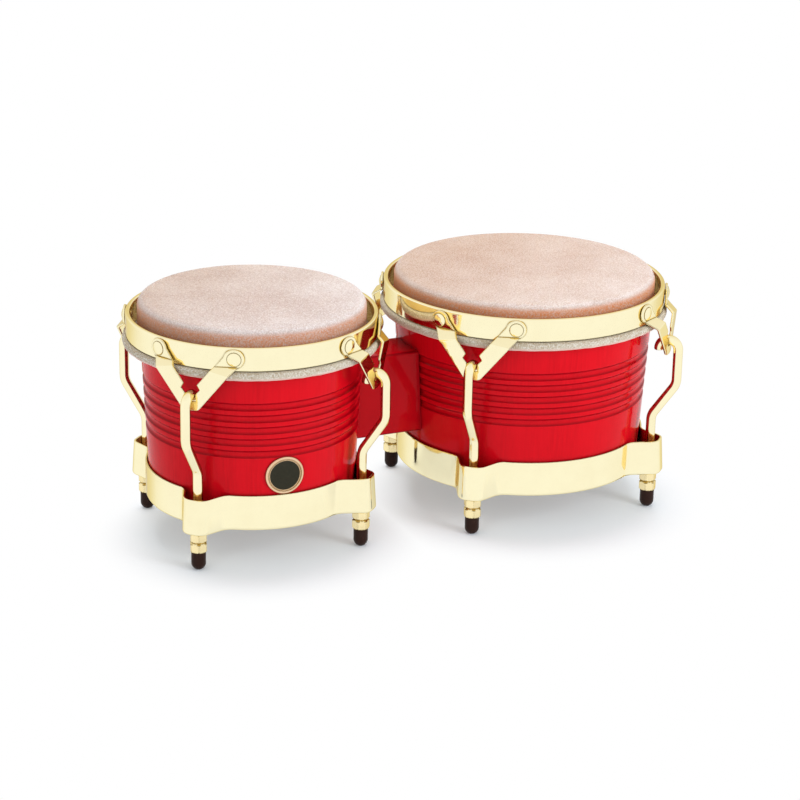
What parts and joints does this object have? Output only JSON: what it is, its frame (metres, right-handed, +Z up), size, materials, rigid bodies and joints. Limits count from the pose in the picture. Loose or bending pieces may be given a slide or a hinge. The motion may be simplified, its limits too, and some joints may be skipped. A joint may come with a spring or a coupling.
{
  "type": "bongo drums",
  "caption": "Joined hand drums with tapered lacquered shells, hide heads, a plated rim pulled down by V links and hook rods, and rubber-footed tuning nuts.",
  "frame": {"origin": "middle of the overall length and width, on the surface that the rubber feet stand on", "axes": "+X from the small drum to the large drum, +Y away from the player's badge side, +Z up"},
  "size_m": [0.4666, 0.2398, 0.1982],
  "materials": {
    "red_lacquered_wood": "deep clear gloss over a red stain, grain just showing",
    "head_rawhide": "smooth matte rawhide with faint speckle",
    "hoop_rawhide": "matte speckled rawhide wrapped over its ring",
    "gold_plate": "mirror-polished pale gold plating over pressed steel",
    "nut_plate": "duller gold plating over turned steel",
    "black_rubber": "matte very dark brown rubber",
    "zinc_steel": "plain zinc-plated steel",
    "badge_metal": "satin with a darkened centre"
  },
  "bodies": {
    "drums": {"centre_block": "red_lacquered_wood", "badge": "badge_metal", "small_shell": "red_lacquered_wood", "small_head_skin": "head_rawhide", "small_bottom_band": "gold_plate", "small_backing_plate": "zinc_steel", "small_block_bolt_lower": "zinc_steel", "small_block_bolt_upper": "zinc_steel", "large_shell": "red_lacquered_wood", "large_head_skin": "head_rawhide", "large_bottom_band": "gold_plate", "large_backing_plate": "zinc_steel", "large_block_bolt_lower": "zinc_steel", "large_block_bolt_upper": "zinc_steel"},
    "small_tuning_rim": {"small_rim": "gold_plate", "small_flesh_hoop": "hoop_rawhide", "small_v_link_back_right": "gold_plate", "small_hook_rod_back_right": "gold_plate", "small_v_link_back_left": "gold_plate", "small_hook_rod_back_left": "gold_plate", "small_v_link_front_left": "gold_plate", "small_hook_rod_front_left": "gold_plate", "small_v_link_front_right": "gold_plate", "small_hook_rod_front_right": "gold_plate"},
    "small_nut_back_right": {"small_tuning_nut_back_right": "nut_plate", "small_rubber_foot_back_right": "black_rubber"},
    "small_nut_back_left": {"small_tuning_nut_back_left": "nut_plate", "small_rubber_foot_back_left": "black_rubber"},
    "small_nut_front_left": {"small_tuning_nut_front_left": "nut_plate", "small_rubber_foot_front_left": "black_rubber"},
    "small_nut_front_right": {"small_tuning_nut_front_right": "nut_plate", "small_rubber_foot_front_right": "black_rubber"},
    "large_tuning_rim": {"large_rim": "gold_plate", "large_flesh_hoop": "hoop_rawhide", "large_v_link_back_right": "gold_plate", "large_hook_rod_back_right": "gold_plate", "large_v_link_back_left": "gold_plate", "large_hook_rod_back_left": "gold_plate", "large_v_link_front_left": "gold_plate", "large_hook_rod_front_left": "gold_plate", "large_v_link_front_right": "gold_plate", "large_hook_rod_front_right": "gold_plate"},
    "large_nut_back_right": {"large_tuning_nut_back_right": "nut_plate", "large_rubber_foot_back_right": "black_rubber"},
    "large_nut_back_left": {"large_tuning_nut_back_left": "nut_plate", "large_rubber_foot_back_left": "black_rubber"},
    "large_nut_front_left": {"large_tuning_nut_front_left": "nut_plate", "large_rubber_foot_front_left": "black_rubber"},
    "large_nut_front_right": {"large_tuning_nut_front_right": "nut_plate", "large_rubber_foot_front_right": "black_rubber"}
  },
  "joints": [
    {"name": "small_nut_back_right_turn", "type": "hinge", "parent": "drums", "child": "small_nut_back_right", "pos_m": [-0.05917, 0.06568, 0.02], "axis": [0, 0, 1], "range_deg": [-1441, 1081]},
    {"name": "small_nut_back_left_turn", "type": "hinge", "parent": "drums", "child": "small_nut_back_left", "pos_m": [-0.1965, 0.06927, 0.02], "axis": [0, 0, 1], "range_deg": [-1441, 1081]},
    {"name": "small_nut_front_left_turn", "type": "hinge", "parent": "drums", "child": "small_nut_front_left", "pos_m": [-0.20003, -0.06568, 0.02], "axis": [0, 0, 1], "range_deg": [-1441, 1081]},
    {"name": "small_nut_front_right_turn", "type": "hinge", "parent": "drums", "child": "small_nut_front_right", "pos_m": [-0.0627, -0.06927, 0.02], "axis": [0, 0, 1], "range_deg": [-1441, 1081]},
    {"name": "small_tension", "type": "slide", "parent": "drums", "child": "small_tuning_rim", "axis": [0, 0, -1], "range_m": [-0.00508, 0.00381]},
    {"name": "large_nut_back_right_turn", "type": "hinge", "parent": "drums", "child": "large_nut_back_right", "pos_m": [0.19528, 0.08046, 0.02], "axis": [0, 0, 1], "range_deg": [-1441, 1081]},
    {"name": "large_nut_back_left_turn", "type": "hinge", "parent": "drums", "child": "large_nut_back_left", "pos_m": [0.03152, 0.08046, 0.02], "axis": [0, 0, 1], "range_deg": [-1441, 1081]},
    {"name": "large_nut_front_left_turn", "type": "hinge", "parent": "drums", "child": "large_nut_front_left", "pos_m": [0.03152, -0.08046, 0.02], "axis": [0, 0, 1], "range_deg": [-1441, 1081]},
    {"name": "large_nut_front_right_turn", "type": "hinge", "parent": "drums", "child": "large_nut_front_right", "pos_m": [0.19528, -0.08046, 0.02], "axis": [0, 0, 1], "range_deg": [-1441, 1081]},
    {"name": "large_tension", "type": "slide", "parent": "drums", "child": "large_tuning_rim", "axis": [0, 0, -1], "range_m": [-0.00508, 0.00381]}
  ],
  "couplings": [
    {"joint": "small_nut_back_right_turn", "follows": "small_tension", "rad_per_m": 4947.4},
    {"joint": "small_nut_back_left_turn", "follows": "small_tension", "rad_per_m": 4947.4},
    {"joint": "small_nut_front_left_turn", "follows": "small_tension", "rad_per_m": 4947.4},
    {"joint": "small_nut_front_right_turn", "follows": "small_tension", "rad_per_m": 4947.4},
    {"joint": "large_nut_back_right_turn", "follows": "large_tension", "rad_per_m": 4947.4},
    {"joint": "large_nut_back_left_turn", "follows": "large_tension", "rad_per_m": 4947.4},
    {"joint": "large_nut_front_left_turn", "follows": "large_tension", "rad_per_m": 4947.4},
    {"joint": "large_nut_front_right_turn", "follows": "large_tension", "rad_per_m": 4947.4}
  ]
}
